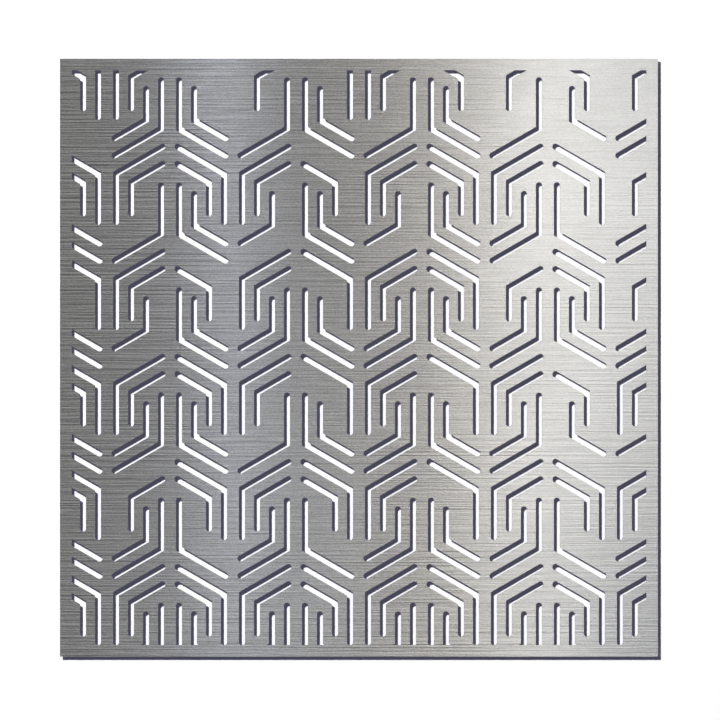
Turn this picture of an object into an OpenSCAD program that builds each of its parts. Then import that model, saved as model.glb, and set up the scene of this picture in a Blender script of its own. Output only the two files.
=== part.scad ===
// Laser cut metal screen: one brushed stainless sheet, pierced by a woven pattern of bent slots,
// and the concealed stand-offs that hold it a finger's width off the wall behind it.
//
// The screen stands upright. X runs to the right, Z runs up and the visible face looks to -Y.
// The origin is the middle of the fixing pattern, on the wall plane (y = 0). Sizes are in mm.

/* [Sheet] */
// Width of the sheet
sheet_w = 598; // [400:1:1200]
// Height of the sheet
sheet_h = 598; // [400:1:1200]
// Thickness of the sheet
sheet_t = 3; // [1.5:0.5:6]
// Width of the plain border that is left uncut all round
border_w = 11.6; // [11.4:0.1:60]

/* [Slot pattern] */
// Width of every slot
slot_w = 5.9; // [3:0.1:8]
// Solid metal between two slots that run side by side
bar_w = 9.1; // [7:0.1:12]
// Solid metal between a slot and its mirror image, both within a column and between columns
spine_w = 12.1; // [9:0.1:16]
// Height from one row of the pattern to the next
row_pitch = 105.1; // [100:0.1:125]
// Height of the middle row's apex above the middle of the sheet
row_shift = 14.6; // [-40:0.1:40]
// Slope of the slanted legs, in degrees
slant = 30; // [25:1:35]
// Height of the slanted line that the upright legs end on, from the apex, on a column's middle
leg_reach = 57.8; // [54:0.1:60]
// How far the round ends of a slot stand out past its sides, where the laser pierces and stops
tip_relief = 0.05; // [0.03:0.01:0.1]

/* [Stand-offs] */
// Outer diameter of a stand-off
barrel_d = 10; // [9:0.1:11]
// Length of a stand-off
barrel_len = 12; // [11:0.5:30]
// Thickness of the stand-off's base, which the wall screw clamps
base_t = 3; // [2:0.1:4]
// Distance from the edge of the sheet to the axis of a stand-off
fix_inset = 6; // [5.6:0.1:6]
// Edge break on both ends of a stand-off
barrel_chamfer = 0.4; // [0.2:0.1:0.6]
// Diameter of the hole for the countersunk wall screw
screw_hole_d = 3.2; // [2.6:0.1:3.6]

/* [Weld pins] */
// Diameter of the plain pin that is welded to the back of the sheet
pin_d = 6; // [4.6:0.1:6.4]
// Length of the pin inside the stand-off's socket
pin_engage = 6; // [5:0.1:7]
// Diameter of the pin's weld flange
flange_d = 7; // [6.8:0.1:7.4]
// Thickness of the pin's weld flange
flange_t = 0.8; // [0.5:0.1:0.9]
// Radial clearance of the pin in its socket
pin_clearance = 0.1; // [0.05:0.05:0.3]
// Depth of the groove that the grub screw seats in
groove_depth = 0.5; // [0.2:0.1:0.8]
// Edge break on the free end of the pin
pin_chamfer = 0.5; // [0.2:0.1:0.8]

/* [Washers and pads] */
// Thickness of the isolating washer between the sheet and a stand-off
washer_t = 1; // [1:0.1:2]
// Radial clearance of the washer round the weld flange
washer_clearance = 0.15; // [0.1:0.05:0.3]
// Thickness of the rubber pad between a stand-off and the wall
pad_t = 1; // [0.5:0.1:3]

/* [Grub screws] */
// Thread diameter of the grub screw
grub_d = 3; // [2:0.1:3]
// How far the seated grub screw stands out of the stand-off's side
grub_proud = 0.5; // [0:0.1:0.8]
// Width across the flats of its hexagon socket
grub_key = 1.5; // [0.9:0.1:1.5]
// Depth of the hexagon socket
grub_key_depth = 1.4; // [1:0.1:1.6]
// Edge break on the point of the grub screw
grub_chamfer = 0.4; // [0.2:0.1:0.6]
// Radial clearance between the grub screw and its thread
thread_clearance = 0.02; // [0.01:0.01:0.05]

/* [Hidden] */
$fn = 96;
OVER = 1; // how far a cutting tool runs past the face it cuts

// Depths along Y, from the wall plane forwards
barrel_back = -pad_t;
barrel_front = barrel_back - barrel_len;
sheet_back = barrel_front - washer_t;
grub_y = barrel_front + pin_engage / 2;

// Stand-off, pin and grub screw
socket_d = pin_d + 2 * pin_clearance;
countersink_depth = (socket_d - screw_hole_d) / 2;
groove_w = grub_d + 2 * pin_clearance;
groove_r = pin_d / 2 - groove_depth;
grub_len = barrel_d / 2 + grub_proud - groove_r;

// Pattern: stroke centre lines, measured outwards from the middle of a column
pitch = bar_w + slot_w;
spine_gap = spine_w + slot_w;
upright = [for (i = [0:3]) spine_gap / 2 + i * pitch];
column_pitch = 2 * (upright[3] + spine_gap / 2);
tip_inner = pitch / 2;
tip_outer = column_pitch / 2 - pitch / 2;
// Heights, on the middle of a column, of the slanted centre lines
slope = tan(slant);
line_step = pitch / cos(slant);
line_near = (spine_w + slot_w / cos(slant)) / 2;
line_far = line_near + line_step;

// The window that the slots may not leave, and the cells that reach into it
window_w = sheet_w - 2 * border_w;
window_h = sheet_h - 2 * border_w;
cell_reach = leg_reach + slope * upright[3];
half_columns = ceil(window_w / 2 / column_pitch);
last_row = ceil((window_h / 2 + abs(row_shift) + cell_reach) / row_pitch);

// The four strokes of half a cell. The branch strokes drop outwards from the column's middle bar,
// the roof strokes hang down outside them.
BRANCH_LONG = "branch long";
BRANCH_SHORT = "branch short";
ROOF_OUTER = "roof outer";
ROOF_INNER = "roof inner";
STROKES = [BRANCH_LONG, BRANCH_SHORT, ROOF_OUTER, ROOF_INNER];
LEFT = -1;
RIGHT = 1;

// Strokes that stay uncut, so that the weave looks loose: [row, column, side, stroke].
// Rows count up from the middle row, columns count right from the middle of the sheet.
UNCUT = [
    [3, -2, RIGHT, ROOF_INNER], [3, -2, RIGHT, ROOF_OUTER], [3, -1, LEFT, ROOF_OUTER],
    [3, -1, RIGHT, ROOF_INNER], [3, 0, RIGHT, ROOF_OUTER], [3, 1, LEFT, ROOF_OUTER],
    [3, 1, RIGHT, ROOF_OUTER], [3, 2, LEFT, ROOF_OUTER],
    [2, -3, RIGHT, BRANCH_LONG], [2, -3, RIGHT, BRANCH_SHORT], [2, -1, LEFT, BRANCH_SHORT],
    [2, -1, RIGHT, ROOF_OUTER], [2, 0, LEFT, BRANCH_SHORT], [2, 1, LEFT, BRANCH_SHORT],
    [2, 1, RIGHT, BRANCH_LONG], [2, 2, LEFT, ROOF_OUTER],
    [1, -3, RIGHT, ROOF_INNER], [1, -2, LEFT, BRANCH_SHORT], [1, -2, RIGHT, ROOF_OUTER],
    [1, -1, LEFT, BRANCH_LONG], [1, -1, RIGHT, ROOF_INNER], [1, 0, LEFT, BRANCH_LONG],
    [1, 1, LEFT, ROOF_OUTER], [1, 1, RIGHT, BRANCH_SHORT], [1, 2, LEFT, ROOF_OUTER],
    [0, -2, LEFT, BRANCH_LONG], [0, -1, RIGHT, ROOF_INNER], [0, 0, RIGHT, ROOF_INNER],
    [0, 1, RIGHT, ROOF_OUTER],
    [-1, -2, LEFT, ROOF_OUTER], [-1, -1, LEFT, BRANCH_SHORT], [-1, 0, RIGHT, ROOF_INNER],
    [-1, 1, RIGHT, BRANCH_LONG], [-1, 2, LEFT, BRANCH_LONG],
    [-2, -2, RIGHT, BRANCH_SHORT], [-2, -1, RIGHT, BRANCH_SHORT], [-2, 1, RIGHT, BRANCH_SHORT]
];

// Stand-off places as steps of [-1, 0, 1] across and up the sheet
fix_x = sheet_w / 2 - fix_inset;
fix_z = sheet_h / 2 - fix_inset;
PLACES = [[-1, 1], [0, 1], [1, 1], [-1, 0], [1, 0], [-1, -1], [0, -1], [1, -1]];

// ---- Pattern -------------------------------------------------------------------------------

function unit(v) = v / norm(v);
function left_of(v) = [-v[1], v[0]];
// Point on a slanted line, dx out from the column's middle
function on_slant(height, dx) = [dx, height - slope * dx];

// Free end, bend and free end of a stroke's centre line, outwards from the column's middle
function centre_line(stroke) =
    stroke == BRANCH_LONG ? branch_line(upright[0], line_near) :
    stroke == BRANCH_SHORT ? branch_line(upright[1], line_far) :
    stroke == ROOF_OUTER ? roof_line(upright[3], -line_near) :
    roof_line(upright[2], -line_far);
function branch_line(dx, height) =
    [on_slant(leg_reach, dx), on_slant(height, dx), on_slant(height, tip_outer)];
function roof_line(dx, height) =
    [on_slant(height, tip_inner), on_slant(height, dx), on_slant(-leg_reach, dx)];

function is_cut(row, column, side, stroke) =
    len([for (u = UNCUT) if (u == [row, column, side, stroke]) 1]) == 0;
// Whether any of a stroke reaches into the window
function reaches_window(points) =
    let (r = slot_w / 2, xs = [for (p = points) p[0]], zs = [for (p = points) p[1]])
    min(xs) - r < window_w / 2 && max(xs) + r > -window_w / 2 &&
    min(zs) - r < window_h / 2 && max(zs) + r > -window_h / 2;

// A slot of even width along a bent centre line, mitred at the bend and round at both free ends
module slot_along(a, bend, c) {
    r = slot_w / 2;
    n1 = left_of(unit(bend - a));
    n2 = left_of(unit(c - bend));
    m = unit(n1 + n2);
    corner = r * m / (m * n1);
    polygon([a + r * n1, bend + corner, c + r * n2, c - r * n2, bend - corner, a - r * n1]);
    for (end = [a, c]) translate(end) circle(r = r + tip_relief);
}

// All slots, before they are clipped to the window
module slots() {
    for (row = [-last_row:last_row], column = [-half_columns - 1:half_columns])
        for (side = [LEFT, RIGHT], stroke = STROKES) {
            apex = [(column + 0.5) * column_pitch, row_shift + row * row_pitch];
            points = [for (p = centre_line(stroke)) apex + [side * p[0], p[1]]];
            if (is_cut(row, column, side, stroke) && reaches_window(points))
                slot_along(points[0], points[1], points[2]);
        }
}

// ---- Pieces --------------------------------------------------------------------------------

// Carries a shape that is drawn along +Z, from z = 0, to a depth on the Y axis, running forwards
module forwards(y) translate([0, y, 0]) rotate([90, 0, 0]) children();

// Carries a piece to a stand-off place
module at_place(place) translate([place[0] * fix_x, 0, place[1] * fix_z]) children();

// Turns a shape drawn along +Z so that it points at the nearest edge of the sheet
module to_nearest_edge(place)
    rotate(place[1] == 0 ? [0, 90 * place[0], 0] : [0, place[1] > 0 ? 0 : 180, 0]) children();

module face_sheet() {
    color([0.66, 0.66, 0.67])
        forwards(sheet_back) linear_extrude(sheet_t) difference() {
            square([sheet_w, sheet_h], center = true);
            intersection() {
                square([window_w, window_h], center = true);
                slots();
            }
        }
}

// One pin, standing on its flange
module weld_pin() {
    r = pin_d / 2;
    pin_len = washer_t + pin_engage;
    groove_near = washer_t + (pin_engage - groove_w) / 2;
    groove_far = groove_near + groove_w;
    rotate_extrude() polygon([
        [0, 0], [flange_d / 2, 0], [flange_d / 2, flange_t], [r, flange_t],
        [r, groove_near], [groove_r, groove_near], [groove_r, groove_far], [r, groove_far],
        [r, pin_len - pin_chamfer], [r - pin_chamfer, pin_len], [0, pin_len]
    ]);
}

module weld_pins() {
    color([0.62, 0.62, 0.64])
        for (place = PLACES)
            at_place(place) translate([0, sheet_back, 0]) rotate([-90, 0, 0]) weld_pin();
}

module standoff(place) {
    r = barrel_d / 2;
    c = barrel_chamfer;
    hole_r = screw_hole_d / 2;
    color([0.74, 0.75, 0.77])
        at_place(place) difference() {
            forwards(barrel_back) rotate_extrude() polygon([
                [hole_r, 0], [r - c, 0], [r, c], [r, barrel_len - c], [r - c, barrel_len],
                [socket_d / 2, barrel_len], [socket_d / 2, base_t],
                [hole_r, base_t - countersink_depth]
            ]);
            translate([0, grub_y, 0]) to_nearest_edge(place)
                cylinder(d = grub_d + 2 * thread_clearance, h = r + OVER);
        }
}

module ring(outer_d, inner_d, h)
    rotate_extrude() translate([inner_d / 2, 0]) square([(outer_d - inner_d) / 2, h]);

module isolating_washers() {
    color([0.13, 0.13, 0.14])
        for (place = PLACES)
            at_place(place) forwards(barrel_front)
                ring(barrel_d, flange_d + 2 * washer_clearance, washer_t);
}

module wall_pads() {
    color([0.1, 0.1, 0.11])
        for (place = PLACES) at_place(place) forwards(0) ring(barrel_d, screw_hole_d, pad_t);
}

// One grub screw, standing on its point
module grub_screw() {
    r = grub_d / 2;
    point_r = r - grub_chamfer;
    difference() {
        rotate_extrude() polygon([
            [0, 0], [point_r, 0], [r, grub_chamfer], [r, grub_len], [0, grub_len]
        ]);
        translate([0, 0, grub_len - grub_key_depth])
            cylinder(d = grub_key / cos(30), h = grub_key_depth + OVER, $fn = 6);
    }
}

module grub_screws() {
    color([0.2, 0.2, 0.22])
        for (place = PLACES)
            at_place(place) translate([0, grub_y, 0]) to_nearest_edge(place)
                translate([0, 0, groove_r]) grub_screw();
}

face_sheet();
weld_pins();
isolating_washers();
grub_screws();
wall_pads();
standoff([-1, 1]);  // standoff_top_left
standoff([0, 1]);  // standoff_top_middle
standoff([1, 1]);  // standoff_top_right
standoff([-1, 0]);  // standoff_middle_left
standoff([1, 0]);  // standoff_middle_right
standoff([-1, -1]);  // standoff_bottom_left
standoff([0, -1]);  // standoff_bottom_middle
standoff([1, -1]);  // standoff_bottom_right
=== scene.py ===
"""Dresses the laser cut metal screen and lights it in a plain studio.

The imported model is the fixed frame: X runs to the right, Z up, and the visible face of the sheet looks to -Y.
The wall that the screen is fixed to is the plane y = 0. Every length is in metres.
"""

from __future__ import annotations

import logging
import math
from dataclasses import dataclass, field
from enum import Enum

import bpy
from mathutils import Matrix, Vector

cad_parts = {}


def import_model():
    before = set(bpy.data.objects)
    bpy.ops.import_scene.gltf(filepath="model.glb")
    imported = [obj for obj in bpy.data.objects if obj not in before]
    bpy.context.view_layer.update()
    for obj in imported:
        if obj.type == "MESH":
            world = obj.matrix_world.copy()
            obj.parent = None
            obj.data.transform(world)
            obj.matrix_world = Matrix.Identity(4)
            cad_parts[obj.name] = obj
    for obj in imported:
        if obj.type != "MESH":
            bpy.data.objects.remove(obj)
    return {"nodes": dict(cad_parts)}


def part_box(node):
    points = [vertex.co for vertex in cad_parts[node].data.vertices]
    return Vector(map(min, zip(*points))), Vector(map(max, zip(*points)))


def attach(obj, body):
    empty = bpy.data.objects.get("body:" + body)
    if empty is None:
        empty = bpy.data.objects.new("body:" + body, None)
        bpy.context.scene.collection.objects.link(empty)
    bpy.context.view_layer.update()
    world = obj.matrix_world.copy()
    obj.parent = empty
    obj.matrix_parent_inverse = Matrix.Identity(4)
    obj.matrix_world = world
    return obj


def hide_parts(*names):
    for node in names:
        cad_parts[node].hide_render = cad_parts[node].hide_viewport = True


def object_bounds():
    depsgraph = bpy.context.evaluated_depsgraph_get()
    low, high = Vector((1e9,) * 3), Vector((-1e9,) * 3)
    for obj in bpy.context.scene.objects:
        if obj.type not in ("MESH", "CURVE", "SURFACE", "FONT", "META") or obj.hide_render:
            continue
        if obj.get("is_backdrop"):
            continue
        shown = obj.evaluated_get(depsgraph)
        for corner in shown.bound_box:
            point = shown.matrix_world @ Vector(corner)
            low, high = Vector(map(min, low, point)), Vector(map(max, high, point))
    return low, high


LOG = logging.getLogger("screen")

MM = 0.001
QUARTER_TURN = math.pi / 2
ROOT = "root"

Socket = bpy.types.NodeSocket
Span = tuple[float, float]
Colour = tuple[float, float, float]

BLACK: Colour = (0.0, 0.0, 0.0)
WHITE: Colour = (1.0, 1.0, 1.0)
FULL: Span = (0.0, 1.0)
# Nearly all of a noise's values lie between these two.
NOISE: Span = (0.3, 0.7)
HALF = 0.5


class Side(Enum):
    """Which part of the sheet a polygon belongs to, with its material index."""

    FRONT = 0
    WALL = 1
    BACK = 2


class SeenBy(Enum):
    """Which surfaces a lamp lights."""

    MATTE = "matte"
    METAL = "metal"


class Carries(Enum):
    """What a node group's socket carries."""

    NUMBER = "NodeSocketFloat"
    VECTOR = "NodeSocketVector"


# Node trees


class Graph:
    """A node tree with short calls that add nodes and join their sockets."""

    def __init__(self, tree: bpy.types.NodeTree) -> None:
        """Keeps the tree.

        Args:
            tree: The tree of a material, a world or a node group.
        """
        self.tree = tree

    def node(self, kind: str, **settings: object) -> bpy.types.Node:
        """Adds a node.

        Args:
            kind: The node's type, such as "ShaderNodeMath".
            settings: The node's own properties, by name.

        Returns:
            The new node.
        """
        made = self.tree.nodes.new(kind)
        for name, value in settings.items():
            setattr(made, name, value)
        return made

    def feed(self, socket: Socket, value: object) -> None:
        """Joins an output to a socket, or sets the socket's own value.

        Args:
            socket: The input to feed.
            value: An output socket, a number, or a colour or vector as a triple.
        """
        if isinstance(value, Socket):
            self.tree.links.new(value, socket)
        elif socket.type == "RGBA":
            socket.default_value = (*value, 1.0)
        else:
            socket.default_value = value

    def feed_all(self, node: bpy.types.Node, values: tuple[object, ...]) -> bpy.types.Node:
        """Feeds a node's first inputs, in order.

        Args:
            node: The node.
            values: What each input takes, as for feed.

        Returns:
            The same node.
        """
        for socket, value in zip(node.inputs, values):
            self.feed(socket, value)
        return node

    def math(self, operation: str, *terms: object) -> Socket:
        """Adds a Math node.

        Args:
            operation: The operation's name, such as "MULTIPLY".
            terms: Its inputs, as sockets or numbers.

        Returns:
            The result.
        """
        return self.feed_all(self.node("ShaderNodeMath", operation=operation), terms).outputs[0]

    def vector(self, operation: str, *terms: object) -> Socket:
        """Adds a Vector Math node.

        Args:
            operation: The operation's name, such as "MULTIPLY".
            terms: Its inputs, as sockets or triples. A number's socket counts as three equal ones.

        Returns:
            The resulting vector.
        """
        return self.feed_all(self.node("ShaderNodeVectorMath", operation=operation), terms).outputs[0]

    def split(self, vector: Socket) -> tuple[Socket, ...]:
        """The X, Y and Z of a vector."""
        return tuple(self.feed_all(self.node("ShaderNodeSeparateXYZ"), (vector,)).outputs)

    def join(self, *parts: object) -> Socket:
        """The vector with these X, Y and Z."""
        return self.feed_all(self.node("ShaderNodeCombineXYZ"), parts).outputs[0]

    def swap_x_y(self, vector: Socket) -> Socket:
        """The vector with its X and Y exchanged."""
        x, y, z = self.split(vector)
        return self.join(y, x, z)

    def remap(self, value: Socket, before: Span, after: Span) -> Socket:
        """Moves a value from one range to another and holds it inside the new one.

        Args:
            value: The value.
            before: The range that it comes in.
            after: The range that it leaves in.

        Returns:
            The new value.
        """
        return self.feed_all(self.node("ShaderNodeMapRange"), (value, *before, *after)).outputs[0]

    def sway(self, level: object, mask: Socket, spread: float) -> Socket:
        """Moves a value up and down with a mask.

        Args:
            level: The value where the mask is at its middle, as a socket or a number.
            mask: The mask, from 0 to 1.
            spread: How far the value goes either way.

        Returns:
            The moved value.
        """
        return self.math("ADD", level, self.remap(mask, FULL, (-spread, spread)))

    def blend(self, share: Socket, first: object, second: object) -> Socket:
        """Blends two colours.

        Args:
            share: The share of the second.
            first: The first colour, as a socket or a triple.
            second: The second colour, in the same way.

        Returns:
            The blended colour.
        """
        made = self.node("ShaderNodeMix", data_type="RGBA")
        inputs = {socket.identifier: socket for socket in made.inputs}
        self.feed(inputs["Factor_Float"], share)
        self.feed(inputs["A_Color"], first)
        self.feed(inputs["B_Color"], second)
        return next(socket for socket in made.outputs if socket.identifier == "Result_Color")

    def shades(self, mask: Socket, colour: Colour, factors: Span) -> Socket:
        """Blends a darker and a lighter shade of one colour.

        Args:
            mask: The share of the lighter shade.
            colour: The colour.
            factors: The two shades, as factors on the colour.

        Returns:
            The blended colour.
        """
        darker, lighter = (tuple(channel * factor for channel in colour) for factor in factors)
        return self.blend(mask, darker, lighter)

    def noise(self, position: Socket, scale: float, detail: float = 2.0, roughness: float = 0.5) -> Socket:
        """Adds a Noise Texture.

        Args:
            position: Where the noise is read.
            scale: Its cells per unit of position.
            detail: How many finer layers it has.
            roughness: How strong the finer layers are.

        Returns:
            The noise, about 0.5 on the average.
        """
        made = self.node("ShaderNodeTexNoise")
        self.feed(made.inputs["Vector"], position)
        made.inputs["Scale"].default_value = scale
        made.inputs["Detail"].default_value = detail
        made.inputs["Roughness"].default_value = roughness
        return made.outputs["Fac"]

    def bump(self, height: Socket, depth: float) -> Socket:
        """Adds a Bump node.

        Args:
            height: The relief, from 0 to 1.
            depth: How deep the relief is, in metres.

        Returns:
            The normal.
        """
        made = self.node("ShaderNodeBump")
        made.inputs["Distance"].default_value = depth
        self.feed(made.inputs["Height"], height)
        return made.outputs["Normal"]

    def group(self, tree: bpy.types.NodeTree, *values: object) -> tuple[Socket, ...]:
        """Places a node group.

        Args:
            tree: The group.
            values: Its inputs, in order.

        Returns:
            Its outputs, in order.
        """
        return tuple(self.feed_all(self.node("ShaderNodeGroup", node_tree=tree), values).outputs)


class GroupGraph(Graph):
    """The inside of a new node group."""

    def __init__(self, name: str, inputs: dict[str, Carries], outputs: dict[str, Carries]) -> None:
        """Makes the group with its sockets.

        Args:
            name: The group's name.
            inputs: What each input carries, by the input's name.
            outputs: What each output carries, by the output's name.
        """
        super().__init__(bpy.data.node_groups.new(name, "ShaderNodeTree"))
        for label, carries in inputs.items():
            self.tree.interface.new_socket(label, in_out="INPUT", socket_type=carries.value)
        for label, carries in outputs.items():
            self.tree.interface.new_socket(label, in_out="OUTPUT", socket_type=carries.value)
        self.inputs = self.node("NodeGroupInput").outputs
        self.outputs = self.node("NodeGroupOutput").inputs


# Uneven numbers, so that no two layers of scratches read the same noise.
LAYER_SHIFT = (3.7, 5.3, 9.1)


@dataclass(frozen=True)
class Scratches:
    """One layer of a streaked grain.

    Attributes:
        shortness: A factor on the grain's lengths per metre.
        fineness: A factor on the grain's lines per metre.
        tone: The layer's share in the streaks' tone.
        depth: The layer's share in the streaks' relief.
    """

    shortness: float
    fineness: float
    tone: float
    depth: float

    @property
    def offset(self) -> tuple[float, float, float]:
        """A shift that keeps the layers' noise apart."""
        x, y, z = LAYER_SHIFT
        return (self.shortness * x, self.fineness * y, self.fineness * z)


SCRATCHES = (
    Scratches(shortness=1.0, fineness=0.8, tone=0.04, depth=0.60),
    Scratches(shortness=6.0, fineness=1.6, tone=0.04, depth=0.30),
    Scratches(shortness=90.0, fineness=1.6, tone=0.22, depth=0.10),
    Scratches(shortness=300.0, fineness=1.6, tone=0.40, depth=0.0),
    Scratches(shortness=12.0, fineness=6.0, tone=0.30, depth=0.03),
)


@dataclass(frozen=True)
class SurfaceEffects:
    """The effects that several finishes share, each a node group that is built once."""

    streaks: bpy.types.NodeTree
    mount_polar: bpy.types.NodeTree
    handling: bpy.types.NodeTree

    @classmethod
    def build(cls, mount_spacing: float) -> SurfaceEffects:
        """Builds the groups.

        Args:
            mount_spacing: The distance between neighbouring stand-offs.

        Returns:
            The groups.
        """
        return cls(cls._streaks(), cls._mount_polar(mount_spacing), cls._handling())

    @staticmethod
    def _streaks() -> bpy.types.NodeTree:
        """Long fine streaks: scratches of several lengths that lie side by side, the finest for a close look.

        Returns:
            A group that takes a position, with the streaks along its X, and gives Streak and Height.
        """
        graph = GroupGraph(
            "streaks",
            {
                "Position": Carries.VECTOR,
                "Lines per Metre": Carries.NUMBER,
                "Lengths per Metre": Carries.NUMBER,
            },
            {"Streak": Carries.NUMBER, "Height": Carries.NUMBER},
        )
        tone, relief = 0.0, 0.0
        for scratch in SCRATCHES:
            lines = graph.math("MULTIPLY", graph.inputs["Lines per Metre"], scratch.fineness)
            lengths = graph.math("MULTIPLY", graph.inputs["Lengths per Metre"], scratch.shortness)
            place = graph.vector("MULTIPLY", graph.inputs["Position"], graph.join(lengths, lines, lines))
            shifted = graph.vector("ADD", place, scratch.offset)
            layer = graph.noise(shifted, scale=1.0, detail=1.0, roughness=0.3)
            tone = graph.math("MULTIPLY_ADD", layer, scratch.tone, tone)
            relief = graph.math("MULTIPLY_ADD", layer, scratch.depth, relief)
        graph.feed(graph.outputs["Streak"], graph.remap(tone, NOISE, FULL))
        graph.feed(graph.outputs["Height"], relief)
        return graph.tree

    @staticmethod
    def _mount_polar(spacing: float) -> bpy.types.NodeTree:
        """The place of a point as seen from the axis of the nearest stand-off.

        Args:
            spacing: The distance between neighbouring stand-offs.

        Returns:
            A group that takes a position and gives Local, the vector from the axis, and Radius. The middle of
            the screen has no stand-off, so Radius is a metre more there.
        """
        graph = GroupGraph(
            "mount_polar",
            {"Position": Carries.VECTOR},
            {"Local": Carries.VECTOR, "Radius": Carries.NUMBER},
        )
        x, y, z = graph.split(graph.inputs["Position"])
        half = spacing / 2
        across = graph.math("WRAP", x, half, -half)
        up = graph.math("WRAP", z, half, -half)
        squares = graph.math("ADD", graph.math("POWER", across, 2.0), graph.math("POWER", up, 2.0))
        outward = graph.math("MAXIMUM", graph.math("ABSOLUTE", x), graph.math("ABSOLUTE", z))
        middle_cell = graph.math("LESS_THAN", outward, half)
        graph.feed(graph.outputs["Local"], graph.join(across, y, up))
        graph.feed(graph.outputs["Radius"], graph.math("ADD", graph.math("SQRT", squares), middle_cell))
        return graph.tree

    @staticmethod
    def _handling() -> bpy.types.NodeTree:
        """Broad faint clouds where a surface has been wiped and handled.

        Returns:
            A group that takes a position and a size, and gives Cloud, from 0 to 1.
        """
        graph = GroupGraph(
            "handling",
            {"Position": Carries.VECTOR, "Clouds per Metre": Carries.NUMBER},
            {"Cloud": Carries.NUMBER},
        )
        place = graph.vector("MULTIPLY", graph.inputs["Position"], graph.inputs["Clouds per Metre"])
        cloud = graph.noise(place, scale=1.0, detail=3.0, roughness=0.55)
        graph.feed(graph.outputs["Cloud"], graph.remap(cloud, NOISE, FULL))
        return graph.tree


# Finishes


class SurfaceGraph(Graph):
    """The nodes of a new material: its Principled BSDF, and the object coordinates that its patterns read."""

    def __init__(self, name: str) -> None:
        """Makes the material.

        Args:
            name: The material's name.
        """
        self.material = bpy.data.materials.new(name)
        self.material.use_nodes = True
        super().__init__(self.material.node_tree)
        self.tree.nodes.clear()
        self.shader = self.node("ShaderNodeBsdfPrincipled")
        self.place = self.node("ShaderNodeTexCoord").outputs["Object"]
        out = self.node("ShaderNodeOutputMaterial")
        self.feed(out.inputs["Surface"], self.shader.outputs["BSDF"])

    def finish(self, **inputs: object) -> bpy.types.Material:
        """Feeds the Principled BSDF.

        Args:
            inputs: What its inputs take, by the input's name with _ for each space.

        Returns:
            The finished material.
        """
        for name, value in inputs.items():
            self.feed(self.shader.inputs[name.replace("_", " ")], value)
        return self.material


@dataclass(frozen=True)
class BrushedFace:
    """Stainless steel with a straight horizontal grain, painted fainter and shallower towards the right as
    painted light: the brighter light there hides the grain.

    Attributes:
        painted_light_fade: How far to the right the painted fading of the grain begins and ends, a painted
            lighting effect.
        painted_light_share: The share of the grain's tone contrast and depth that is left there.
        spread: How much further a reflection spreads across the grain than along it, from 0 to 1.
        spread_turn: The part of a turn that lays the grain level.
    """

    steel: Colour = (0.60, 0.60, 0.60)
    shades: Span = (0.64, 1.36)
    lines_per_metre: float = 650.0
    lengths_per_metre: float = 4.0
    groove_depth: float = 2.00 * MM
    painted_light_fade: Span = (0.04, 0.18)
    painted_light_share: float = 0.50
    clouds_per_metre: float = 9.0
    roughness: float = 0.45
    cloud_roughness: float = 0.02
    spread: float = 0.90
    spread_turn: float = 0.25

    def material(self, effects: SurfaceEffects) -> bpy.types.Material:
        """Builds the material.

        Args:
            effects: The shared effects.

        Returns:
            The material.
        """
        face = SurfaceGraph("brushed_face")
        streak, height = face.group(effects.streaks, face.place, self.lines_per_metre, self.lengths_per_metre)
        (cloud,) = face.group(effects.handling, face.place, self.clouds_per_metre)
        across, _, _ = face.split(face.place)
        # Painted light: cut fades the streaks' tone contrast and relief towards the right, standing in for the
        # brighter light there that hides the grain.
        cut = face.remap(across, self.painted_light_fade, (1.0, self.painted_light_share))
        eased = face.math("MULTIPLY_ADD", face.math("SUBTRACT", streak, HALF), cut, HALF)
        tangent = face.node("ShaderNodeTangent", direction_type="RADIAL", axis="Z")
        return face.finish(
            Base_Color=face.shades(eased, self.steel, self.shades),
            Metallic=1.0,
            Roughness=face.sway(self.roughness, cloud, self.cloud_roughness),
            Normal=face.bump(face.math("MULTIPLY", height, cut), self.groove_depth),
            Anisotropic=self.spread,
            Anisotropic_Rotation=self.spread_turn,
            Tangent=tangent.outputs["Tangent"],
        )


@dataclass(frozen=True)
class MillBack:
    """The unbrushed back of the sheet: dull rolled steel, with a heat tint round each weld.

    Attributes:
        tint_inner: The distance from the weld's middle at which the tint is full blue.
        tint_outer: The distance at which its straw rim ends.
        tint_ragged: How far the tint's rims wander.
    """

    steel: Colour = (0.50, 0.50, 0.51)
    shades: Span = (0.78, 1.22)
    lines_per_metre: float = 420.0
    lengths_per_metre: float = 4.0
    roll_depth: float = 0.16 * MM
    clouds_per_metre: float = 22.0
    roughness: float = 0.36
    cloud_roughness: float = 0.08
    straw: Colour = (0.42, 0.34, 0.22)
    straw_share: float = 0.75
    blue: Colour = (0.22, 0.25, 0.36)
    blue_share: float = 0.8
    tint_inner: float = 5.2 * MM
    tint_outer: float = 7.4 * MM
    tint_ragged: float = 0.6 * MM

    def material(self, effects: SurfaceEffects) -> bpy.types.Material:
        """Builds the material.

        Args:
            effects: The shared effects.

        Returns:
            The material.
        """
        back = SurfaceGraph("mill_back")
        streak, height = back.group(effects.streaks, back.place, self.lines_per_metre, self.lengths_per_metre)
        (cloud,) = back.group(effects.handling, back.place, self.clouds_per_metre)
        _, radius = back.group(effects.mount_polar, back.place)
        tone = back.math("MULTIPLY", back.math("ADD", streak, cloud), HALF)
        steel = back.shades(tone, self.steel, self.shades)
        ragged = back.sway(radius, cloud, self.tint_ragged)
        tint_middle = (self.tint_inner + self.tint_outer) / 2
        straw = back.remap(ragged, (self.tint_outer, tint_middle), (0.0, self.straw_share))
        blue = back.remap(ragged, (tint_middle, self.tint_inner), (0.0, self.blue_share))
        return back.finish(
            Base_Color=back.blend(blue, back.blend(straw, steel, self.straw), self.blue),
            Metallic=1.0,
            Roughness=back.sway(self.roughness, cloud, self.cloud_roughness),
            Normal=back.bump(height, self.roll_depth),
        )


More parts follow.
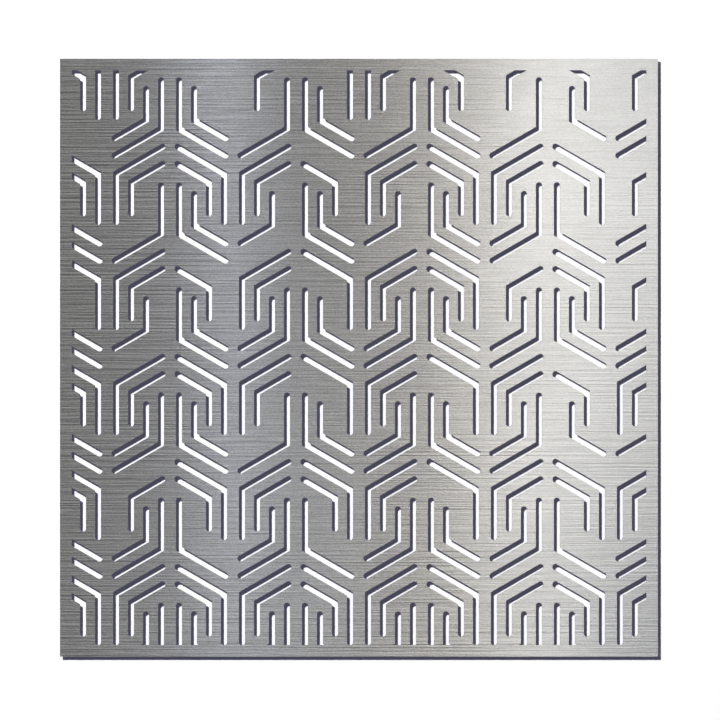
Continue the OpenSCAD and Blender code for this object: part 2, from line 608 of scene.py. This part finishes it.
@dataclass(frozen=True)
class LaserCutEdge:
    """The cut walls: dark heat-tinted steel with fine striations through the thickness."""

    tint: Colour = (0.12, 0.125, 0.165)
    shades: Span = (0.25, 1.75)
    lines_per_metre: float = 1500.0
    lengths_per_metre: float = 0.6
    striation_depth: float = 0.12 * MM
    roughness: Span = (0.50, 0.36)

    def material(self, effects: SurfaceEffects) -> bpy.types.Material:
        """Builds the material.

        Args:
            effects: The shared effects.

        Returns:
            The material.
        """
        wall = SurfaceGraph("laser_cut_edge")
        through = wall.swap_x_y(wall.place)
        streak, height = wall.group(effects.streaks, through, self.lines_per_metre, self.lengths_per_metre)
        return wall.finish(
            Base_Color=wall.shades(streak, self.tint, self.shades),
            Metallic=1.0,
            Roughness=wall.remap(streak, FULL, self.roughness),
            Normal=wall.bump(height, self.striation_depth),
        )


@dataclass(frozen=True)
class DrawnSteel:
    """Bright drawn pin steel, with faint lines along its length."""

    steel: Colour = (0.55, 0.55, 0.57)
    shades: Span = (0.88, 1.10)
    lines_per_metre: float = 5200.0
    lengths_per_metre: float = 120.0
    line_depth: float = 0.02 * MM
    roughness: Span = (0.30, 0.24)

    def material(self, effects: SurfaceEffects) -> bpy.types.Material:
        """Builds the material.

        Args:
            effects: The shared effects.

        Returns:
            The material.
        """
        pin = SurfaceGraph("drawn_steel")
        local, _ = pin.group(effects.mount_polar, pin.place)
        along = pin.swap_x_y(local)
        streak, height = pin.group(effects.streaks, along, self.lines_per_metre, self.lengths_per_metre)
        return pin.finish(
            Base_Color=pin.shades(streak, self.steel, self.shades),
            Metallic=1.0,
            Roughness=pin.remap(streak, FULL, self.roughness),
            Normal=pin.bump(height, self.line_depth),
        )


@dataclass(frozen=True)
class TurnedAluminium:
    """Satin aluminium with the fine rings that a lathe tool leaves."""

    metal: Colour = (0.70, 0.71, 0.73)
    shades: Span = (0.86, 1.08)
    rings_per_metre: float = 6000.0
    ring_wander: float = 0.05
    ring_depth: float = 0.03 * MM
    roughness: Span = (0.38, 0.30)

    def material(self, effects: SurfaceEffects) -> bpy.types.Material:
        """Builds the material.

        Args:
            effects: The shared effects.

        Returns:
            The material.
        """
        barrel = SurfaceGraph("turned_aluminium")
        local, radius = barrel.group(effects.mount_polar, barrel.place)
        across, along, up = barrel.split(local)
        ring = barrel.join(
            barrel.math("MULTIPLY", across, self.ring_wander),
            barrel.math("ADD", along, radius),
            barrel.math("MULTIPLY", up, self.ring_wander),
        )
        rings = barrel.noise(ring, self.rings_per_metre, detail=1.0)
        tone = barrel.remap(rings, NOISE, FULL)
        return barrel.finish(
            Base_Color=barrel.shades(tone, self.metal, self.shades),
            Metallic=1.0,
            Roughness=barrel.remap(tone, FULL, self.roughness),
            Normal=barrel.bump(rings, self.ring_depth),
        )


@dataclass(frozen=True)
class MattePolymer:
    """A black moulded polymer with a fine texture, as nylon or rubber."""

    name: str
    colour: Colour
    roughness: float
    grains_per_metre: float
    relief: float
    shades: Span = (0.8, 1.5)
    clouds_per_metre: float = 90.0
    grain_roughness: float = 0.08

    def material(self, effects: SurfaceEffects) -> bpy.types.Material:
        """Builds the material.

        Args:
            effects: The shared effects.

        Returns:
            The material.
        """
        body = SurfaceGraph(self.name)
        texture = body.noise(body.place, self.grains_per_metre)
        (cloud,) = body.group(effects.handling, body.place, self.clouds_per_metre)
        smooth, rough = self.roughness - self.grain_roughness, self.roughness + self.grain_roughness
        return body.finish(
            Base_Color=body.shades(cloud, self.colour, self.shades),
            Roughness=body.remap(texture, NOISE, (smooth, rough)),
            Normal=body.bump(texture, self.relief),
        )


@dataclass(frozen=True)
class BlackOxide:
    """Blackened screw steel, rubbed bright in places."""

    black: Colour = (0.030, 0.030, 0.034)
    bare: Colour = (0.20, 0.19, 0.18)
    clouds_per_metre: float = 700.0
    rubbed_at: Span = (0.62, 0.95)
    rubbed_most: float = 0.8
    relief: float = 0.01 * MM
    metallic: float = 0.7
    roughness: Span = (0.38, 0.26)

    def material(self, effects: SurfaceEffects) -> bpy.types.Material:
        """Builds the material.

        Args:
            effects: The shared effects.

        Returns:
            The material.
        """
        screw = SurfaceGraph("black_oxide")
        (cloud,) = screw.group(effects.handling, screw.place, self.clouds_per_metre)
        rubbed = screw.remap(cloud, self.rubbed_at, (0.0, self.rubbed_most))
        return screw.finish(
            Base_Color=screw.blend(rubbed, self.black, self.bare),
            Metallic=self.metallic,
            Roughness=screw.remap(rubbed, (0.0, self.rubbed_most), self.roughness),
            Normal=screw.bump(cloud, self.relief),
        )


NYLON = MattePolymer(
    name="nylon_black",
    colour=(0.030, 0.030, 0.033),
    roughness=0.46,
    grains_per_metre=4200.0,
    relief=0.03 * MM,
)
RUBBER = MattePolymer(
    name="pad_rubber",
    colour=(0.020, 0.020, 0.022),
    roughness=0.72,
    grains_per_metre=2600.0,
    relief=0.06 * MM,
)


# The screen


def select_only(piece: bpy.types.Object) -> None:
    """Deselects everything, then selects one object and makes it active.

    Args:
        piece: The object.
    """
    bpy.ops.object.select_all(action="DESELECT")
    piece.select_set(True)
    bpy.context.view_layer.objects.active = piece


def dress(piece: bpy.types.Object, *materials: bpy.types.Material) -> None:
    """Gives an object these materials and no others.

    Args:
        piece: The object.
        materials: The materials, in the order of its slots.
    """
    piece.data.materials.clear()
    for material in materials:
        piece.data.materials.append(material)


@dataclass
class FaceSheet:
    """The pierced sheet, with its cut edges broken as after deburring.

    Attributes:
        cad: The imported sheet.
        edge_break: The width of the chamfer.
        merge_within: Vertices this near to each other are one.
        wall_lean: The most that a cut wall's normal may point along Y.
        smooth_below: The sharpest bend between faces that is shaded smooth.
        piece: The finished sheet.
    """

    cad: bpy.types.Object
    edge_break: float = 0.12 * MM
    merge_within: float = 0.0005 * MM
    wall_lean: float = 0.1
    smooth_below: float = math.radians(25)
    piece: bpy.types.Object | None = field(default=None, init=False)

    def build(self) -> None:
        """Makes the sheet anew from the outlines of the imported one, with a small chamfer on every rim."""
        self._copy_outlines()
        self._extrude_outlines()
        self._sort_polygons()
        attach(self.piece, ROOT)
        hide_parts("face_sheet")

    def _copy_outlines(self) -> None:
        """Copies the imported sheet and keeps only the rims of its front, laid flat in X and Y."""
        select_only(self.cad)
        bpy.ops.object.duplicate()
        self.piece = bpy.context.view_layer.objects.active
        self.piece.name = "pierced_sheet"
        self.piece.parent = None
        for key in list(self.piece.keys()):
            del self.piece[key]
        self._merge_doubles()
        self._select_all_but_front_rims()
        bpy.ops.object.mode_set(mode="EDIT")
        bpy.ops.mesh.delete(type="EDGE")
        bpy.ops.mesh.select_mode(type="VERT")
        bpy.ops.mesh.select_all(action="DESELECT")
        bpy.ops.mesh.select_loose()
        bpy.ops.mesh.delete(type="VERT")
        bpy.ops.object.mode_set(mode="OBJECT")
        self.piece.data.transform(Matrix.Rotation(-QUARTER_TURN, 4, "X"))

    def _merge_doubles(self) -> None:
        """Merges the vertices that lie in one place, and leaves nothing selected."""
        bpy.ops.object.mode_set(mode="EDIT")
        bpy.ops.mesh.select_mode(type="EDGE")
        bpy.ops.mesh.select_all(action="SELECT")
        bpy.ops.mesh.remove_doubles(threshold=self.merge_within)
        bpy.ops.mesh.select_all(action="DESELECT")
        bpy.ops.object.mode_set(mode="OBJECT")

    def _select_all_but_front_rims(self) -> None:
        """Selects every edge that isn't between the front face and a cut wall."""
        mesh = self.piece.data
        sides: dict[tuple[int, int], set[Side]] = {}
        for polygon in mesh.polygons:
            for key in polygon.edge_keys:
                sides.setdefault(key, set()).add(self._side(polygon))
        for edge in mesh.edges:
            edge.select = sides[edge.key] != {Side.FRONT, Side.WALL}

    def _extrude_outlines(self) -> None:
        """Fills the outlines, gives them thickness and chamfers, and stands the sheet in its place."""
        front, back = (corner.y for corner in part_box("face_sheet"))
        half = (back - front) / 2
        select_only(self.piece)
        bpy.ops.object.convert(target="CURVE")
        outlines = self.piece.data
        outlines.dimensions = "2D"
        outlines.fill_mode = "BOTH"
        outlines.extrude = half - self.edge_break
        outlines.bevel_depth = self.edge_break
        outlines.bevel_resolution = 0
        outlines.offset = -self.edge_break
        bpy.ops.object.convert(target="MESH")
        stand_up = Matrix.Rotation(QUARTER_TURN, 4, "X")
        self.piece.data.transform(Matrix.Translation((0, front + half, 0)) @ stand_up)
        self._merge_doubles()
        bpy.ops.object.shade_smooth_by_angle(angle=self.smooth_below)

    def _side(self, polygon: bpy.types.MeshPolygon) -> Side:
        """The side of the sheet that a polygon is on, where a chamfer goes with the face beside it."""
        if polygon.normal.y < -self.wall_lean:
            return Side.FRONT
        return Side.BACK if polygon.normal.y > self.wall_lean else Side.WALL

    def _sort_polygons(self) -> None:
        """Gives each polygon the material index of its side."""
        for polygon in self.piece.data.polygons:
            polygon.material_index = self._side(polygon).value

    def dress(self, effects: SurfaceEffects) -> None:
        """Finishes the front, the cut walls and the back.

        Args:
            effects: The shared effects.
        """
        indices = [polygon.material_index for polygon in self.piece.data.polygons]
        finishes = (BrushedFace(), LaserCutEdge(), MillBack())
        dress(self.piece, *(finish.material(effects) for finish in finishes))
        self.piece.data.polygons.foreach_set("material_index", indices)


@dataclass
class ConcealedFixings:
    """The pins, washers, stand-offs, grub screws and pads that carry the sheet."""

    nodes: dict[str, bpy.types.Object]

    def standoffs(self) -> list[bpy.types.Object]:
        """The eight stand-offs."""
        return [piece for name, piece in sorted(self.nodes.items()) if name.startswith("standoff_")]

    def dress(self, effects: SurfaceEffects) -> None:
        """Finishes every piece of the fixings.

        Args:
            effects: The shared effects.
        """
        dress(self.nodes["weld_pins"], DrawnSteel().material(effects))
        dress(self.nodes["isolating_washers"], NYLON.material(effects))
        dress(self.nodes["grub_screws"], BlackOxide().material(effects))
        dress(self.nodes["wall_pads"], RUBBER.material(effects))
        aluminium = TurnedAluminium().material(effects)
        for piece in self.standoffs():
            dress(piece, aluminium)


# The studio


@dataclass
class Backdrop:
    """A white wall just behind the screen and a pale floor below it, neither of them part of the object.

    Attributes:
        gap: The distance from the screen's pads to the wall.
        shade: What the camera still sees of the wall in full shadow.
        floor_glow: What it still sees of the floor.
    """

    gap: float = 0.2 * MM
    wall_width: float = 5.0
    wall_top: float = 2.5
    floor_width: float = 24.0
    floor_level: float = -0.45
    white: Colour = (0.97, 0.97, 0.97)
    shade: Colour = (0.0605, 0.0600, 0.0905)
    floor_white: Colour = (0.80, 0.80, 0.80)
    floor_glow: Colour = (0.66, 0.66, 0.66)

    def build(self) -> None:
        """Makes the wall and the floor."""
        wall = self._plane("backdrop_wall", Vector((0, self.gap, (self.wall_top + self.floor_level) / 2)))
        wall.dimensions = (self.wall_width, self.wall_top - self.floor_level, 0)
        wall.rotation_euler = (QUARTER_TURN, 0, 0)
        dress(wall, self._paint("wall_paint", self.white, self.shade))
        floor = self._plane("pale_floor", Vector((0, 0, self.floor_level)))
        floor.dimensions = (self.floor_width, self.floor_width, 0)
        dress(floor, self._paint("floor_paint", self.floor_white, self.floor_glow))

    @staticmethod
    def _plane(name: str, place: Vector) -> bpy.types.Object:
        """Adds a plane to the stage.

        Args:
            name: The plane's name.
            place: Its middle.

        Returns:
            The plane.
        """
        bpy.ops.object.select_all(action="DESELECT")
        bpy.ops.mesh.primitive_plane_add(size=1, location=place)
        made = bpy.context.view_layer.objects.active
        made.name = name
        made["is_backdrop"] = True
        return made

    @staticmethod
    def _paint(name: str, colour: Colour, shade: Colour) -> bpy.types.Material:
        """Matte paint that keeps the shadows, and that is clear when it is seen from behind or in metal.

        Args:
            name: The material's name.
            colour: The paint's colour.
            shade: What the camera still sees of it in full shadow.

        Returns:
            The material.
        """
        material = bpy.data.materials.new(name)
        material.use_nodes = True
        material.node_tree.nodes.clear()
        graph = Graph(material.node_tree)
        path = graph.node("ShaderNodeLightPath").outputs
        paint = graph.node("ShaderNodeBsdfDiffuse")
        graph.feed(paint.inputs["Color"], graph.blend(path["Is Camera Ray"], BLACK, colour))
        glow = graph.node("ShaderNodeEmission")
        graph.feed(glow.inputs["Color"], shade)
        graph.feed(glow.inputs["Strength"], path["Is Camera Ray"])
        lit = graph.node("ShaderNodeAddShader")
        graph.feed_all(lit, (paint.outputs["BSDF"], glow.outputs["Emission"]))
        clear = graph.node("ShaderNodeBsdfTransparent")
        behind = graph.node("ShaderNodeNewGeometry").outputs["Backfacing"]
        # Less than half a bounce off matte surfaces is none.
        undiffused = graph.math("LESS_THAN", path["Diffuse Depth"], HALF)
        mirrored = graph.math("MULTIPLY", path["Is Glossy Ray"], undiffused)
        unseen = graph.math("MAXIMUM", behind, mirrored)
        mixed = graph.node("ShaderNodeMixShader")
        graph.feed_all(mixed, (unseen, lit.outputs["Shader"], clear.outputs["BSDF"]))
        out = graph.node("ShaderNodeOutputMaterial")
        graph.feed(out.inputs["Surface"], mixed.outputs["Shader"])
        return material


def limit_lamp(lamp: bpy.types.Object, seen_by: SeenBy) -> None:
    """Keeps a lamp out of the picture and off the surfaces that it isn't for.

    Args:
        lamp: The lamp.
        seen_by: The surfaces that it lights.
    """
    lamp.visible_camera = False
    lamp.visible_transmission = False
    lamp.visible_diffuse = seen_by is SeenBy.MATTE
    lamp.visible_glossy = seen_by is SeenBy.METAL


@dataclass(frozen=True)
class Softbox:
    """A lamp with a large even face that shows only in metal."""

    name: str
    middle: tuple[float, float, float]
    size: tuple[float, float]
    brightness: float
    colour: Colour

    def build(self) -> None:
        """Adds the lamp, facing +Y."""
        data = bpy.data.lights.new(self.name, "AREA")
        data.shape = "RECTANGLE"
        data.size, data.size_y = self.size
        data.energy = self.brightness * math.pi * self.size[0] * self.size[1]
        data.color = self.colour
        lamp = bpy.data.objects.new(self.name, data)
        bpy.context.scene.collection.objects.link(lamp)
        lamp.location = self.middle
        lamp.rotation_euler = (QUARTER_TURN, 0, 0)
        limit_lamp(lamp, SeenBy.METAL)


# The brushed face mirrors these as soft upright bands. Two that overlap stand at different depths.
SOFTBOXES = (
    Softbox("low_left", (-0.22, -0.305, -0.40), (0.14, 0.4), 0.19, (0.88, 0.90, 1.0)),
    Softbox("left_fill", (-0.19, -0.445, 0.0), (0.12, 1.2), 0.035, (0.65, 0.61, 1.0)),
    Softbox("cool_top", (-0.146, -0.245, 0.40), (0.03, 0.4), 1.94, (0.83, 0.86, 1.0)),
    Softbox("cool_middle", (-0.130, -0.200, 0.0), (0.03, 0.4), 0.80, (0.76, 0.805, 1.0)),
    Softbox("cool_low", (-0.146, -0.245, -0.40), (0.03, 0.4), 0.79, (0.82, 0.845, 1.0)),
    Softbox("low_fill", (-0.06, -0.325, -0.35), (0.15, 0.6), 0.42, (0.88, 0.917, 1.0)),
    Softbox("warm_panel", (0.11, -0.455, 0.0), (0.12, 1.2), 0.55, (1.0, 0.913, 0.788)),
    Softbox("bright_strip", (0.187, -0.465, 0.05), (0.07, 1.1), 1.57, (1.0, 0.995, 0.957)),
    Softbox("upper_panel", (0.32, -0.475, 0.36), (0.26, 0.48), 1.50, (1.0, 0.995, 0.98)),
    Softbox("middle_panel", (0.32, -0.475, -0.01), (0.26, 0.26), 1.09, (1.0, 0.983, 0.913)),
    Softbox("lower_panel", (0.32, -0.475, -0.37), (0.26, 0.46), 0.37, (0.752, 0.812, 1.0)),
)


@dataclass(frozen=True)
class Surroundings:
    """The world that the metal mirrors, in pairs of a colour below the horizon and one above it.

    Attributes:
        horizon: The rise over which the lower colour gives way to the upper.
        turns_aside: The slant to the left or right over which the front gives way to the sides.
        turns_back: The slant to the back over which both give way to the back.
    """

    front: tuple[Colour, Colour] = ((0.03, 0.03, 0.03), (0.615, 0.61, 0.595))
    sides: tuple[Colour, Colour] = ((0.42, 0.42, 0.42), (0.72, 0.72, 0.72))
    back: tuple[Colour, Colour] = ((0.45, 0.45, 0.45), (0.95, 0.95, 0.95))
    horizon: Span = (-0.12, 0.12)
    turns_aside: Span = (0.35, 0.75)
    turns_back: Span = (-0.2, 0.5)

    def build(self) -> None:
        """Makes the world: white for the camera, these colours for metal, and dark for the rest."""
        world = bpy.data.worlds.new("surroundings")
        bpy.context.scene.world = world
        world.use_nodes = True
        world.node_tree.nodes.clear()
        graph = Graph(world.node_tree)
        path = graph.node("ShaderNodeLightPath").outputs
        x, y, z = graph.split(graph.node("ShaderNodeTexCoord").outputs["Generated"])
        rise = graph.remap(z, self.horizon, FULL)
        aside = graph.remap(graph.math("ABSOLUTE", x), self.turns_aside, FULL)
        turned = graph.remap(y, self.turns_back, FULL)
        front, sides, back = (graph.blend(rise, *pair) for pair in (self.front, self.sides, self.back))
        mirrored = graph.blend(turned, graph.blend(aside, front, sides), back)
        metal = graph.blend(path["Is Glossy Ray"], BLACK, mirrored)
        background = graph.node("ShaderNodeBackground")
        graph.feed(background.inputs["Color"], graph.blend(path["Is Camera Ray"], metal, WHITE))
        out = graph.node("ShaderNodeOutputWorld")
        graph.feed(out.inputs["Surface"], background.outputs["Background"])


@dataclass
class Studio:
    """The camera, the lamps and the surroundings that the metal reflects.

    Attributes:
        face_depth: The Y of the sheet's face.
        wall_depth: The Y of the wall.
        frame_width: The width of the picture at the face.
        clip_factor: How many camera distances away the view ends.
        aim_right: How far the camera stands to the right of the middle.
        aim_down: How far it stands below the middle.
        shadow_right: How far to the right the sheet's shadow falls on the wall.
        shadow_down: How far down it falls.
        key_white: The level of white paint in the key lamp's light.
    """

    face_depth: float
    wall_depth: float
    lens: float = 300.0
    sensor: float = 36.0
    frame_width: float = 0.72
    clip_factor: float = 4.0
    aim_right: float = 1.08 * MM
    aim_down: float = 2.31 * MM
    shadow_right: float = 3.08 * MM
    shadow_down: float = 3.45 * MM
    key_radius: float = 0.14
    key_white: float = 1.04

    @property
    def distance(self) -> float:
        """How far the camera stands from the face of the sheet."""
        return self.frame_width * self.lens / self.sensor

    def build(self) -> None:
        """Adds the camera, the lamps and the world."""
        self._camera()
        self._key()
        for box in SOFTBOXES:
            box.build()
        Surroundings().build()
        bpy.context.scene.view_settings.view_transform = "Standard"

    def _camera(self) -> None:
        """Adds the camera, square on to the sheet."""
        data = bpy.data.cameras.new("camera")
        data.lens = self.lens
        data.sensor_width = self.sensor
        data.clip_end = self.clip_factor * self.distance
        camera = bpy.data.objects.new("camera", data)
        bpy.context.scene.collection.objects.link(camera)
        camera.location = (self.aim_right, self.face_depth - self.distance, -self.aim_down)
        camera.rotation_euler = (QUARTER_TURN, 0, 0)
        bpy.context.scene.camera = camera

    def _key(self) -> None:
        """Adds the small key lamp.

        It stands beside the camera and as far away, so that the screen's shadow is as wide everywhere. Its
        energy brings white paint on the wall to the level key_white.
        """
        stand_off = self.wall_depth - self.face_depth
        reach = (self.distance + stand_off) / stand_off
        place = Vector((
            self.aim_right - self.shadow_right * reach,
            self.face_depth - self.distance,
            -self.aim_down + self.shadow_down * reach,
        ))
        away = place.length
        slant = (self.distance + stand_off) / away
        data = bpy.data.lights.new("key", "POINT")
        data.shadow_soft_size = self.key_radius
        data.energy = self.key_white * 4 * math.pi**2 * away**2 / slant
        lamp = bpy.data.objects.new("key", data)
        bpy.context.scene.collection.objects.link(lamp)
        lamp.location = place
        limit_lamp(lamp, SeenBy.MATTE)


def middle_x(node: str) -> float:
    """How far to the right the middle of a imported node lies."""
    low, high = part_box(node)
    return (low.x + high.x) / 2


def main() -> None:
    """Builds the screen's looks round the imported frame, and the studio round the screen."""
    logging.basicConfig(level=logging.INFO, format="%(name)s: %(message)s")
    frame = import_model()
    cad_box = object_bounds()
    nodes = frame["nodes"]
    # The outer stand-offs are two spacings apart.
    spacing = (middle_x("standoff_middle_right") - middle_x("standoff_middle_left")) / 2
    effects = SurfaceEffects.build(spacing)

    sheet = FaceSheet(nodes["face_sheet"])
    sheet.build()
    sheet.dress(effects)
    LOG.info("%s: %d polygons", sheet.piece.name, len(sheet.piece.data.polygons))

    fixings = ConcealedFixings(nodes)
    fixings.dress(effects)
    LOG.info("fixings: %d stand-offs at %.0f mm centres", len(fixings.standoffs()), spacing / MM)

    backdrop = Backdrop()
    backdrop.build()
    LOG.info("backdrop: wall at %.1f mm, floor at %.0f mm", backdrop.gap / MM, backdrop.floor_level / MM)

    studio = Studio(face_depth=cad_box[0].y, wall_depth=backdrop.gap)
    studio.build()
    LOG.info("studio: camera %.2f m from the face", studio.distance)


if __name__ == "__main__":
    main()
